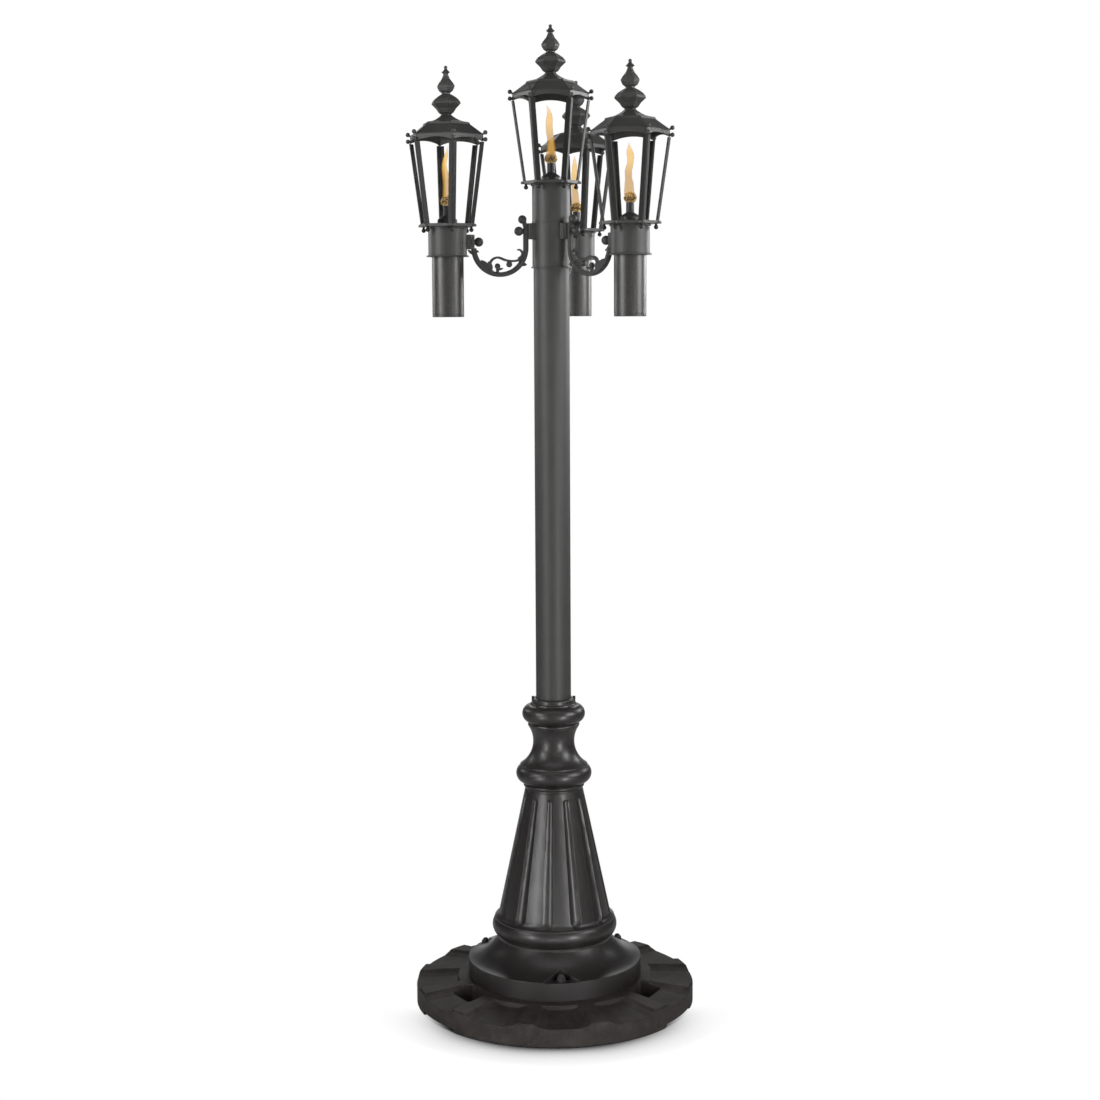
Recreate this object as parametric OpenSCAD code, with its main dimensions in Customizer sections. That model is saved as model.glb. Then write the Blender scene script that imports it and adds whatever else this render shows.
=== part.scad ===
// Four-lantern citronella patio lamp, in millimetres. The origin is the middle
// of the base's flat underside and Z is up. One lantern stands on the pole and
// three hang on scroll arms, a third of a turn apart.

/* [Base disc] */
// Outside diameter of the base disc
base_d = 610; // [570:1:660]
// Height of the ribs at the disc's edge
base_edge_h = 50; // [47:1:54]
// Diameter of the raised middle
boss_d = 424; // [410:1:440]
// Height of the raised middle
boss_h = 58; // [56:1:66]
// Number of scooped pockets round the disc
pocket_count = 12; // [6:1:14]
// Depth of a pocket at the raised middle
pocket_depth = 10; // [5:0.5:14]
// Length of a hand hole round the disc
hand_hole_len = 74; // [60:1:90]
// Depth of a hand hole towards the middle
hand_hole_w = 52; // [40:1:56]
// Height of the finger notch under the rim
notch_h = 9; // [6:0.5:14]

/* [Pedestal] */
// Diameter of the flange on the disc
flange_d = 380; // [370:1:400]
// Height of the flange's edge
flange_h = 41; // [38:1:46]
// Height of the whole pedestal
pedestal_h = 619; // [600:1:640]
// Number of flutes on the tapered part
flute_count = 12; // [6:1:14]
// Wall of the moulded pedestal
pedestal_wall = 6; // [5:0.5:7]
// Radius of the circle of foot bolts
bolt_circle_r = 172; // [168:1:175]
// Width across the flats of a foot nut
nut_flats = 17; // [13:1:19]

/* [Pole] */
// Outside diameter of the steel pole
pole_d = 76.2; // [75:0.1:78]
// Wall of the pole's tube
pole_wall = 1.6; // [1.2:0.1:2.2]
// Height of the seam between the two lengths of pole
seam_z = 1098; // [950:1:1250]
// Length of the coupler inside the seam
coupler_len = 160; // [100:1:220]

/* [Hub and arms] */
// Height of the hub's lower edge
hub_z = 1603; // [1520:1:1700]
// Height of the hub sleeve
hub_h = 97; // [90:1:110]
// Wall of the hub sleeve and of the collars
sleeve_wall = 2.2; // [2:0.1:3]
// Distance from the pole's axis to a side lantern's axis
arm_reach = 225; // [215:1:245]
// Width of an arm's main curve, seen from the side
arm_w = 10; // [8:0.5:12]
// Thickness of an arm's main curve
arm_t = 12; // [10:0.5:14]
// Thickness of the scrolls inside the curve
scroll_t = 8; // [6:0.5:9]
// Direction of the back arm
back_azimuth = 75.5; // [60:0.5:90]

/* [Lanterns] */
// Height of the centre lantern's collar
centre_collar_h = 79; // [70:1:90]
// Height of a side lantern's collar
side_collar_h = 62; // [58:1:68]
// How much lower the side lanterns stand
side_drop = 91; // [84:1:96]
// Corner radius of the lantern's floor plate
plate_r = 62; // [60:0.5:66]
// Thickness of the floor plate
plate_t = 6; // [4:0.5:8]
// Height of the posts above the plate
post_h = 166; // [150:1:190]
// Corner radius of the cage at the top of the posts
cage_top_r = 83.5; // [80:0.5:90]
// Width of a post's two leaves
post_leaf = 9.3; // [8:0.1:12]
// Thickness of a post's leaves
post_t = 3; // [2.6:0.1:3.6]
// Height of the roof from the posts to its neck
roof_h = 56.5; // [52:0.5:62]
// Height of the roof's fringe at its corners
fringe_h = 17; // [14:0.5:20]
// Wall of the roof
roof_wall = 3; // [2.5:0.1:3.5]
// Turn of the left lantern on its collar
left_turn = -3; // [-10:1:10]
// Turn of the right lantern on its collar
right_turn = 7; // [-10:1:10]

/* [Fuel cans] */
// Outside diameter of the fuel can
can_d = 66.5; // [60:0.5:68]
// Length of the can below its flange
can_len = 187; // [150:1:200]
// Wall of the can
can_wall = 1.2; // [1:0.1:1.5]
// Outside diameter of the wick's neck tube
neck_d = 16.8; // [15:0.2:19]
// Height of the neck tube above the collar
neck_top = 43; // [36:1:50]

/* [Hidden] */
$fn = 64;
seat_gap = 0.3;
slide_gap = 0.6;
pole_r = pole_d / 2;
pole_bore_r = pole_r - pole_wall;
base_r = base_d / 2;
boss_r = boss_d / 2;
flange_r = flange_d / 2;
pedestal_z = boss_h;
pedestal_top = pedestal_z + pedestal_h;

// Lamp turns: the grip holes and the foot bolts are a third of a turn apart
grip_azimuths = [for (i = [0:2]) -27 + i * 120];
bolt_azimuths = [for (i = [0:2]) -85.5 + i * 120];
pocket_start = 3;
flute_start = 22.5;
left_azimuth = back_azimuth + 120;
right_azimuth = back_azimuth - 120;

// Pedestal: heights above the disc, and the ends of its taper
head_bead_z = pedestal_h - 34;
waist_z = pedestal_h - 95;
neck_bead_z = pedestal_h - 166;
taper_foot = [flange_r - 68.8, 147];
taper_top = [63.5, neck_bead_z - 35];

// Sleeves, collars and the lantern seats on them
sleeve_gap = 0.15;
collar_r = pole_r + sleeve_wall;
can_r = can_d / 2;
can_flange_r = collar_r - 2.3;
collar_bore_r = can_flange_r - 1.5;
collar_flange_r = collar_r + 4.5;
collar_flange_t = 3;
pole_overlap = 21;
centre_seat_z = hub_z + hub_h + centre_collar_h;
side_seat_z = centre_seat_z - side_drop;
pole_top = centre_seat_z - pole_overlap;

// Fasteners
screw_r = 3;
screw_gap = 0.15;
ball_r = 9.7;
bolt_shank_r = 5;
washer_r = 11;
washer_t = 1.8;
nut_h = 8;
nut_dome_r = 6.8;
clamp_head_r = 6;
clamp_drop = 2.5;
clamp_seat_r = pole_r + 4;

// Arm: its curve is half a circle between the hub and the side collar
hub_pad_h = 33;
hub_pad_z = hub_z + hub_h - 20;
lantern_pad_h = 30;
lantern_pad_z = side_seat_z - side_collar_h / 2;
pad_w = 26;
bar_rho = collar_r + 15.7;
arc_rho = arm_reach / 2;
arc_r = arc_rho - bar_rho;
arc_z = lantern_pad_z - 11;
lantern_pad_rho = arm_reach - collar_r - 16.4;

// Lantern: heights above the collar's top
post_top = plate_t + post_h;
eave_z = post_top + fringe_h;
ledge_z = eave_z + 23.5;
neck_z = post_top + roof_h;
roof_r = cage_top_r - 1.5;
knob_r = 4.6;
knob_rho = cage_top_r + 2.2;
finial_h = 100.5;
can_neck_r = 19;
cap_z = 8;
cap_r = 20.5;
neck_r = neck_d / 2;
neck_wall = 0.8;
wick_head_r = 13.2;

metal = [0.26, 0.26, 0.25];
steel = [0.30, 0.30, 0.29];
plastic = [0.17, 0.15, 0.15];
composite = [0.13, 0.12, 0.12];
fibre = [0.75, 0.62, 0.42];

// Pie slice of a plane, from one angle to another, reaching past the radius
module sector(radius, from, to) {
    steps = ceil((to - from) / 40);
    polygon(concat([[0, 0]], [
        for (i = [0:steps])
            let (a = from + (to - from) * i / steps)
                1.5 * radius * [cos(a), sin(a)]
    ]));
}

// Part of a ring about the origin
module arc_band(radius, width, from, to) {
    intersection() {
        difference() {
            circle(radius + width / 2);
            circle(radius - width / 2);
        }
        sector(radius + width / 2, from, to);
    }
}

// Pointed leaf along +X, the shape that two crossing circles share
module leaf(length, width) {
    radius = (length * length + width * width) / (4 * width);
    offset_y = radius - width / 2;
    intersection() {
        translate([length / 2, offset_y]) circle(radius);
        translate([length / 2, -offset_y]) circle(radius);
    }
}

// Everything above a slanted plane, which holds a line that runs outwards from
// the edge of the raised middle and falls away towards the rim
module above_plane(azimuth, fall, slant, drop = 0) {
    big = 2 * base_r;
    rotate(azimuth)
        translate([boss_r, 0, boss_h - drop])
            rotate([0, fall, 0])
                rotate([slant, 0, 0])
                    translate([-big / 2, -big / 2, 0])
                        cube([big, big, base_r]);
}

// Cutter for one pocket: a flat floor between banks that steepen to the ribs
module pocket_cutter() {
    half = 0.375 * 360 / pocket_count;
    bank = 38;
    bank_h = 0.62 * pocket_depth;
    bank_foot = 16;
    foot_turn = bank_h / tan(bank) / boss_r * 180 / PI;
    lip = 1.5;
    fall = atan((boss_h - base_edge_h) / (base_r - boss_r));
    difference() {
        intersection() {
            above_plane(0, fall, 0, pocket_depth);
            for_both_sides() above_plane(half, fall, bank);
            for_both_sides() above_plane(half - foot_turn, fall, bank_foot, bank_h);
        }
        cylinder(h = boss_h, r1 = boss_r + lip + 4, r2 = boss_r + lip);
        cylinder(h = base_r, r = boss_r + lip);
        translate([-2 * base_r, -base_r, 0]) cube([2 * base_r, 2 * base_r, 2 * base_r]);
    }
}

// What a child shares with its mirror image
module for_both_sides() {
    intersection() {
        children();
        mirror([0, 1, 0]) children();
    }
}

// Slot with round ends, standing up through the disc
module hand_hole(height) {
    corner = 7;
    straight = hand_hole_len - 2 * corner;
    linear_extrude(height)
        union() {
            square([hand_hole_w, straight], center = true);
            square([hand_hole_w - 2 * corner, hand_hole_len], center = true);
            for (x = [-1, 1], y = [-1, 1])
                translate([x * (hand_hole_w / 2 - corner), y * straight / 2])
                    circle(corner);
        }
}

module base_disc() {
    edge = 3;
    notch_w = 128;
    hole_rho = boss_r + 2;
    spigot_r = pole_bore_r - sleeve_gap;
    spigot_h = 30;
    color(composite)
        difference() {
            rotate_extrude($fn = 128)
                polygon([
                    [0, 0], [base_r - edge, 0], [base_r, edge],
                    [base_r, base_edge_h - edge], [base_r - edge, base_edge_h],
                    [boss_r, boss_h], [spigot_r, boss_h], [spigot_r, boss_h + spigot_h - 2],
                    [spigot_r - 2, boss_h + spigot_h], [0, boss_h + spigot_h]
                ]);
            for (i = [0:pocket_count - 1])
                rotate(pocket_start + i * 360 / pocket_count)
                    pocket_cutter();
            for (a = grip_azimuths)
                rotate(a) {
                    translate([hole_rho, 0, -1]) hand_hole(boss_h + 2);
                    translate([hole_rho, -notch_w / 2, -1])
                        cube([base_r, notch_w, notch_h + 1]);
                }
            for (a = bolt_azimuths)
                rotate(a) translate([bolt_circle_r, 0, boss_h - 22])
                    cylinder(h = 23, r = bolt_shank_r + screw_gap);
        }
}

// Outline of the turned pedestal, as radius and height above the disc. The foot
// keeps its height and the neck its distance from the top; the taper takes up
// what lies between them
module pedestal_outline() {
    cove_r = 98.4;
    cove_top = 87;
    foot_bead = [110.8, 114];
    foot_bead_r = 26;
    skirt_r = 131.5;
    skirt_z = 130;
    flare_r = 15;
    lip_r = pole_r + 8.5;
    waist_r = pole_r + 6.9;
    waist_curve = 60;
    waist_bottom = neck_bead_z + 16.5;
    waist_top = head_bead_z - 22;
    union() {
        // Flange, and the cove that sweeps up from it
        square([flange_r, flange_h]);
        difference() {
            square([flange_r, cove_top]);
            translate([flange_r + 18.4, 137.7]) circle(cove_r, $fn = 128);
        }
        // Foot bead, with the skirt of the taper over it and a groove between
        translate(foot_bead) circle(foot_bead_r);
        square([124.5, foot_bead[1] - 22]);
        difference() {
            square([skirt_r, taper_foot[1]]);
            square([flange_r, skirt_z]);
            translate([taper_foot[0] + flare_r, taper_foot[1]]) circle(flare_r);
        }
        square([foot_bead[0] + foot_bead_r / 2, skirt_z + 1]);
        polygon([[0, skirt_z], taper_foot + [0, -1], taper_foot, taper_top, [0, taper_top[1]]]);
        // Neck: a small ring, the bead and the foot of the waist over it
        square([taper_top[0] - 1.3, neck_bead_z + 18]);
        translate([62, neck_bead_z - 25.5]) circle(4.5);
        translate([0, neck_bead_z - 27]) square([64, 27]);
        translate([61.5, neck_bead_z]) circle(21);
        difference() {
            translate([0, waist_bottom]) square([73.5, waist_top - waist_bottom]);
            translate([waist_r + waist_curve, waist_z]) circle(waist_curve, $fn = 128);
            translate([waist_r + 9.5, waist_z]) square(waist_curve);
        }
        // Head: a small ring, the bead, a shoulder on it and the lip round the pole
        translate([51.8, head_bead_z - 24]) circle(4.5);
        translate([0, waist_top - 1]) square([51, 24]);
        translate([48.5, head_bead_z]) circle(20);
        translate([46, head_bead_z + 20]) circle(4.5);
        translate([0, head_bead_z]) square([lip_r, pedestal_h - head_bead_z - 4]);
        translate([lip_r - 4, pedestal_h - 4]) circle(4);
        square([lip_r - 4, pedestal_h]);
    }
}

// Hollow of the pedestal, between its skin and the sleeve round the pole
module pedestal_hollow() {
    wall = pedestal_wall;
    sleeve_r = pole_r + seat_gap + 4;
    foot_r = 120.5;
    flute_allowance = 5.5;
    polygon([
        [sleeve_r, -1], [flange_r - wall, -1], [flange_r - wall, flange_h - wall - 1],
        [158 - wall, 44], [foot_r, 66], [foot_r, taper_foot[1] - 19],
        taper_foot - [wall + flute_allowance, 0],
        taper_top - [wall + flute_allowance - 2, 12], [taper_top[0] - wall - 3.5, neck_bead_z - 23],
        [sleeve_r, neck_bead_z - 8]
    ]);
}

// Cutter for one flute, a slim cone with round ends laid on the taper
module flute_cutter() {
    low_r = 20;
    low_depth = 5;
    top_r = 8.5;
    top_depth = 4;
    slope = (taper_foot[0] - taper_top[0]) / (taper_top[1] - taper_foot[1]);
    low = taper_foot + [low_r - low_depth - 6 * slope, 6];
    top = taper_top + [top_r - top_depth + 18 * slope, -18];
    run = top - low;
    lean = atan2(run[0], run[1]);
    translate([low[0], 0, low[1]])
        rotate([0, lean, 0]) {
            cylinder(h = norm(run), r1 = low_r, r2 = top_r);
            sphere(low_r);
            translate([0, 0, norm(run)]) sphere(top_r);
        }
}

module pedestal() {
    recess_z = flange_h - 1.5;
    recess_len = 34;
    recess_w = 84;
    rib_count = 6;
    rib_t = 4;
    rib_start = bolt_azimuths[0] + 30;
    color(plastic)
        translate([0, 0, pedestal_z])
            difference() {
                rotate_extrude($fn = 128) pedestal_outline();
                difference() {
                    rotate_extrude($fn = 128) pedestal_hollow();
                    for (i = [0:rib_count - 1])
                        rotate(rib_start + i * 360 / rib_count)
                            translate([pole_r, -rib_t / 2, -2])
                                cube([flange_r, rib_t, pedestal_h]);
                }
                translate([0, 0, -1])
                    cylinder(h = pedestal_h + 2, r = pole_r + seat_gap);
                for (i = [0:flute_count - 1])
                    rotate(flute_start + i * 360 / flute_count) flute_cutter();
                for (a = bolt_azimuths)
                    rotate(a) {
                        translate([bolt_circle_r, 0, recess_z])
                            linear_extrude(30)
                                polygon([
                                    [-recess_len + 12, 0], [12, recess_w / 2],
                                    [flange_r, recess_w / 2], [flange_r, -recess_w / 2],
                                    [12, -recess_w / 2]
                                ]);
                        translate([bolt_circle_r, 0, 0])
                            cylinder(h = 60, r = bolt_shank_r + screw_gap);
                    }
                for (side = [0, 180])
                    rotate(side) translate([0, 0, pedestal_h - clamp_drop])
                        rotate([0, 90, 0]) {
                            cylinder(h = flange_r, r = screw_r + screw_gap);
                            translate([0, 0, clamp_seat_r])
                                cylinder(h = flange_r, r = clamp_head_r + 0.5);
                        }
            }
}

// Studs with washers and domed nuts that hold the pedestal down on the disc
module foot_bolts() {
    seat = pedestal_z + flange_h - 1.5;
    color(metal)
        for (a = bolt_azimuths)
            rotate(a) translate([bolt_circle_r, 0, 0]) {
                translate([0, 0, boss_h - 20])
                    cylinder(h = seat - boss_h + 20 + washer_t, r = bolt_shank_r);
                translate([0, 0, seat]) cylinder(h = washer_t, r = washer_r);
                translate([0, 0, seat + washer_t]) {
                    cylinder(h = nut_h, r = nut_flats / sqrt(3), $fn = 6);
                    translate([0, 0, nut_h]) sphere(nut_dome_r);
                }
            }
}

// Two screws that clamp the pole in the pedestal's lip
module pedestal_screws() {
    color(metal)
        for (side = [0, 180])
            rotate(side) translate([0, 0, pedestal_top - clamp_drop])
                rotate([0, 90, 0]) {
                    translate([0, 0, pole_r])
                        cylinder(h = clamp_seat_r - pole_r + 1, r = screw_r);
                    translate([0, 0, clamp_seat_r]) cylinder(h = 5.5, r = clamp_head_r);
                }
}

// Plain tube, or one with holes for the three arms' screws
module tube(outer_r, inner_r, from_z, to_z, screw_z = 0) {
    difference() {
        translate([0, 0, from_z]) cylinder(h = to_z - from_z, r = outer_r, $fn = 128);
        translate([0, 0, from_z - 1]) cylinder(h = to_z - from_z + 2, r = inner_r, $fn = 128);
        if (screw_z > 0)
            for (i = [0:2])
                rotate(back_azimuth + i * 120) translate([0, 0, screw_z])
                    rotate([0, 90, 0]) cylinder(h = outer_r + 1, r = screw_r + screw_gap);
    }
}

module pole_lower() {
    color(steel) tube(pole_r, pole_bore_r, boss_h, seam_z);
}

module pole_upper() {
    color(steel) tube(pole_r, pole_bore_r, seam_z, pole_top, hub_pad_z);
}

module pole_coupler() {
    coupler_r = pole_bore_r - sleeve_gap;
    color(steel)
        tube(coupler_r, coupler_r - 2, seam_z - coupler_len / 2, seam_z + coupler_len / 2);
}

// Sleeve that carries the arms, with a bead at each end
module hub_sleeve() {
    bead_h = 3;
    color(metal) {
        difference() {
            union() {
                tube(collar_r, pole_r + sleeve_gap, hub_z, hub_z + hub_h, hub_pad_z);
                tube(collar_r + 2.4, collar_r - 0.5, hub_z, hub_z + bead_h);
                tube(collar_r + 0.8, collar_r - 0.5, hub_z + hub_h - bead_h, hub_z + hub_h);
            }
            for (i = [0:2])
                rotate(back_azimuth + i * 120)
                    translate([collar_r, -pad_w / 2, hub_pad_z - hub_pad_h / 2])
                        cube([10, pad_w, hub_pad_h]);
        }
    }
}

// Main curve of an arm, seen from the side, about the middle of its circle
module arm_curve(width) {
    bar_top = hub_pad_z + 10 - arc_z;
    arc_band(arc_r, width, 180, 358);
    translate([-arc_r - width / 2, 0]) square([width, bar_top]);
    translate([-arc_r, bar_top]) circle(width / 2);
    // Stem that leans out to the ball on top
    translate([-arc_r, bar_top]) rotate(-24)
        polygon([[-width / 2, 0], [-2.5, 16], [2.5, 16], [width / 2, 0]]);
}

// Scrolls and leaves inside the curve; lengths follow the curve's radius
module arm_scrolls() {
    k = arc_r / 56.5;
    line = 4.6;
    crest = k * [5.2, -38];
    crest_r = 17 * k;
    valley = k * [-26.3, 24.4];
    valley_r = 52.7 * k;
    // Long shallow stroke from the bar to the volute, then the volute round its ball
    translate(valley) arc_band(valley_r, line, 243, 297);
    translate(crest) arc_band(crest_r, line, -75, 117);
    // Stalk that carries the volute's ball
    translate(k * [3, -54]) square([5, 12 * k]);
    // Leaves: beside the stalk, at the lantern's end and at the hub's end
    translate(k * [8, -47]) rotate(166) leaf(15 * k, 5);
    translate(k * [20, -49]) rotate(47) leaf(31 * k, 11);
    translate(k * [17, -45]) rotate(62) leaf(18 * k, 7);
    translate(k * [-42, -34]) rotate(187) leaf(16 * k, 8);
    translate(k * [-49, -31]) rotate(52) leaf(14 * k, 10);
    translate(k * [-40.5, -12.5]) arc_band(8 * k, 3.4, 75, 250);
    translate(k * [59, -4]) rotate(205) leaf(15 * k, 5);
    translate(k * [56, -16]) rotate(40) leaf(17 * k, 5);
}

// One scroll arm along +X from the pole's axis
module arm() {
    k = arc_r / 56.5;
    ring = 10;
    hub_face = bar_rho + arm_w / 2;
    difference() {
        union() {
            translate([arc_rho, 0, arc_z]) rotate([90, 0, 0]) {
                linear_extrude(arm_t, center = true) arm_curve(arm_w - 4);
                linear_extrude(arm_t - 4, center = true) arm_curve(arm_w);
                linear_extrude(scroll_t, center = true) arm_scrolls();
            }
            // Balls: under the long stroke, in the volute and on top of the bar
            translate([arc_rho - 20 * k, 0, arc_z - 35 * k]) sphere(6.5);
            translate([arc_rho + 5.5 * k, 0, arc_z - 39 * k]) sphere(6);
            translate([bar_rho + 7.3, 0, hub_pad_z + 24.5]) sphere(9);
            // Pads, hollowed to seat on the round hub and collar
            translate([collar_r - 4, -pad_w / 2, hub_pad_z - hub_pad_h / 2])
                cube([bar_rho - collar_r, pad_w, hub_pad_h]);
            translate([lantern_pad_rho, -pad_w / 2, lantern_pad_z - lantern_pad_h / 2])
                cube([16.4 + 4, pad_w, lantern_pad_h]);
            translate([hub_face - 4, 0, hub_pad_z]) rotate([0, 90, 0])
                cylinder(h = 4, r = 7.5);
        }
        translate([0, 0, hub_pad_z - hub_pad_h]) cylinder(h = 2 * hub_pad_h, r = collar_r, $fn = 128);
        translate([arm_reach, 0, lantern_pad_z - lantern_pad_h])
            cylinder(h = 2 * lantern_pad_h, r = collar_r, $fn = 128);
        // Scalloped sides of the pads
        for (side = [-1, 1]) {
            translate([bar_rho - 1, side * (pad_w / 2 + 1.5), hub_pad_z - hub_pad_h])
                cylinder(h = 2 * hub_pad_h, r = 7);
            translate([lantern_pad_rho, side * (pad_w / 2 + 1.5), lantern_pad_z - lantern_pad_h])
                cylinder(h = 2 * lantern_pad_h, r = 9);
        }
        translate([0, 0, hub_pad_z]) rotate([0, 90, 0])
            cylinder(h = hub_face + ring, r = screw_r + screw_gap);
        translate([lantern_pad_rho - ring, 0, lantern_pad_z]) rotate([0, 90, 0])
            cylinder(h = 40, r = screw_r + screw_gap);
    }
}

// The two ball-headed screws of one arm
module arm_screws() {
    hub_face = bar_rho + arm_w / 2;
    neck = 2.4;
    translate([0, 0, hub_pad_z]) rotate([0, 90, 0]) {
        translate([0, 0, pole_bore_r]) cylinder(h = hub_face - pole_bore_r, r = screw_r);
        translate([0, 0, hub_face]) cylinder(h = neck + 2, r = 5);
        translate([0, 0, hub_face + neck + ball_r - 2]) sphere(ball_r);
    }
    translate([arm_reach, 0, lantern_pad_z]) rotate([0, -90, 0]) {
        reach = arm_reach - lantern_pad_rho;
        translate([0, 0, collar_bore_r]) cylinder(h = reach - collar_bore_r, r = screw_r);
        translate([0, 0, reach]) cylinder(h = neck + 2, r = 5);
        translate([0, 0, reach + neck + ball_r - 2]) sphere(ball_r);
    }
}

// Collar on the pole's top: it slips over the tube and stops on its edge
module collar_centre() {
    z = hub_z + hub_h;
    color(metal)
        difference() {
            translate([0, 0, z]) cylinder(h = centre_collar_h, r = collar_r, $fn = 128);
            translate([0, 0, z - 1])
                cylinder(h = centre_collar_h + 2, r = collar_bore_r, $fn = 128);
            translate([0, 0, z - 1])
                cylinder(h = pole_top - z + 1, r = pole_r + sleeve_gap, $fn = 128);
        }
}

// Collar of a side lantern, flanged at its foot, drawn about the lantern's axis
module side_collar() {
    color(metal)
        difference() {
            union() {
                translate([0, 0, -side_collar_h])
                    cylinder(h = side_collar_h, r = collar_r, $fn = 128);
                translate([0, 0, -side_collar_h])
                    cylinder(h = collar_flange_t, r1 = collar_flange_r, r2 = collar_flange_r - 1.5);
            }
            translate([0, 0, -side_collar_h - 1])
                cylinder(h = side_collar_h + 2, r = collar_bore_r, $fn = 128);
            translate([0, 0, -side_collar_h / 2]) rotate([0, -90, 0])
                cylinder(h = collar_r + 1, r = screw_r + screw_gap);
        }
}

// Six-sided floor plate, with a skirt that fits round the collar
module plate() {
    skirt_h = 4;
    color(metal)
        difference() {
            union() {
                cylinder(h = plate_t, r = plate_r, $fn = 6);
                translate([0, 0, -skirt_h]) cylinder(h = skirt_h, r = collar_r + 2.4);
                // Rounded ears under the posts
                for (i = [0:5])
                    rotate(i * 60) translate([plate_r - 6, 0, 0])
                        cylinder(h = plate_t - 1.5, r = 8);
            }
            translate([0, 0, -skirt_h - 1])
                cylinder(h = plate_t + skirt_h + 2, r = can_flange_r + slide_gap);
            translate([0, 0, -skirt_h - 1])
                cylinder(h = skirt_h + 1, r = collar_r + seat_gap);
        }
}

// Ball nuts that hang under the plate, one to each post
module plate_nuts() {
    color(metal)
        for (i = [0:5])
            rotate(i * 60) translate([plate_r - 9, 0, 0]) {
                translate([0, 0, -4]) cylinder(h = 4, r = 2.6);
                translate([0, 0, -7]) sphere(4.6);
            }
}

// Section of a post: two leaves along the cage's sides, grooved at the corner
module post_section() {
    t = post_t;
    tip = [-post_leaf / 2, post_leaf * sin(60)];
    inner = tip - t * [sin(60), 0.5];
    difference() {
        polygon([
            [0, 0], tip, inner, [-t / sin(60), 0],
            [inner[0], -inner[1]], [tip[0], -tip[1]]
        ]);
        circle(1.4);
    }
}

module posts() {
    foot_r = plate_r - 2;
    lean = atan((cage_top_r - foot_r) / post_h);
    color(metal)
        for (i = [0:5])
            rotate(i * 60)
                intersection() {
                    translate([foot_r, 0, plate_t])
                        rotate([0, lean, 0])
                            translate([0, 0, -10])
                                linear_extrude(post_h + 30) post_section();
                    translate([0, -cage_top_r / 2, plate_t])
                        cube([2 * cage_top_r, cage_top_r, post_h]);
                }
}

// Six-sided roof: flared crown, ledge, straight slope and a fringe with arches
module roof() {
    w = roof_wall;
    arch_r = 110;
    arch_z = eave_z - 8.5;
    color(metal) {
        difference() {
            rotate_extrude($fn = 6)
                polygon([
                    [roof_r - 0.5, post_top], [roof_r - 1, eave_z - 2], [roof_r - 2.5, eave_z],
                    [52.5, ledge_z - 4], [51.5, ledge_z - 0.5], [47, ledge_z + 1],
                    [38, ledge_z + 2.5], [30, ledge_z + 5], [22, ledge_z + 9],
                    [15, ledge_z + 13.5], [12, neck_z], [0, neck_z],
                    [0, neck_z - 5], [9, neck_z - 6], [26, ledge_z + 2],
                    [48.5, ledge_z - 4.5], [roof_r - 2.5 - 1.6 * w, eave_z - 3.2],
                    [roof_r - 0.5 - w, post_top]
                ]);
            // Arches in the fringe, cut through opposite sides
            for (i = [0:2])
                rotate(30 + i * 60) translate([0, 0, arch_z - arch_r])
                    rotate([0, 90, 0])
                        cylinder(h = 4 * roof_r, r = arch_r, center = true, $fn = 96);
        }
        // Two balls on stems at each corner of the fringe
        for (i = [0:5])
            rotate(i * 60) {
                translate([knob_rho, 0, eave_z + 2]) sphere(knob_r);
                translate([roof_r - 5, 0, eave_z - 3]) rotate([0, 60, 0]) rotate(90)
                    cylinder(h = 10, r = 2);
                translate([knob_rho, 0, eave_z - 12]) sphere(knob_r);
                translate([roof_r - 3, 0, eave_z - 12]) rotate([0, 90, 0]) rotate(90)
                    cylinder(h = 5, r = 2);
            }
    }
}

// Cast finial: faceted knob, faceted drop, and a small ball at the tip
module finial() {
    z = neck_z;
    color(metal) {
        translate([0, 0, z])
            rotate_extrude($fn = 6)
                polygon([
                    [0, 0], [12, 0], [11, 1.5], [16.5, 5], [22, 13], [32.5, 23],
                    [31, 27], [26, 33], [18, 38.5], [9.5, 43], [9.5, 45],
                    [15, 49], [18.4, 55], [19.6, 59], [15.5, 66], [9.5, 73],
                    [6.2, 80], [5.4, 84], [9.6, 87], [5, 91], [2.2, 95],
                    [1.8, 97], [0, 97]
                ]);
        translate([0, 0, z + finial_h - 3.7]) sphere(3.7);
    }
}

// Fuel can that drops into the collar, hung on its flange
module can() {
    flange_t = 2;
    seam_h = 4;
    seam_depth = 0.5;
    w = can_wall;
    color(steel)
        rotate_extrude($fn = 96)
            polygon([
                [0, -can_len], [can_r - 1, -can_len], [can_r, -can_len + 1],
                [can_r, -can_len + seam_h], [can_r - seam_depth, -can_len + seam_h + 0.4],
                [can_r - seam_depth, -can_len + seam_h + 1], [can_r, -can_len + seam_h + 1.4],
                [can_r, 0], [can_flange_r, 0], [can_flange_r, flange_t],
                [can_flange_r - 1, flange_t], [can_neck_r + 4, cap_z],
                [can_neck_r, cap_z], [can_neck_r, cap_z + 5],
                [can_neck_r - w, cap_z + 5], [can_neck_r - w, cap_z - w],
                [can_neck_r + 3, cap_z - w], [can_r - w, flange_t - w],
                [can_r - w, -can_len + 2 * w], [0, -can_len + 2 * w]
            ]);
}

// Screw cap with the neck tube that holds the wick
module burner_cap() {
    skirt_r = can_neck_r + seat_gap;
    top = cap_z + 16;
    color(metal)
        rotate_extrude($fn = 96)
            polygon([
                [skirt_r, cap_z + seat_gap], [cap_r, cap_z + seat_gap],
                [cap_r, cap_z + 6], [18, cap_z + 9], [14, cap_z + 11.6],
                [neck_r + 1, top - 2], [neck_r, top], [neck_r, neck_top],
                [neck_r - neck_wall, neck_top], [neck_r - neck_wall, cap_z + 8],
                [skirt_r, cap_z + 5.5]
            ]);
}

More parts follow.
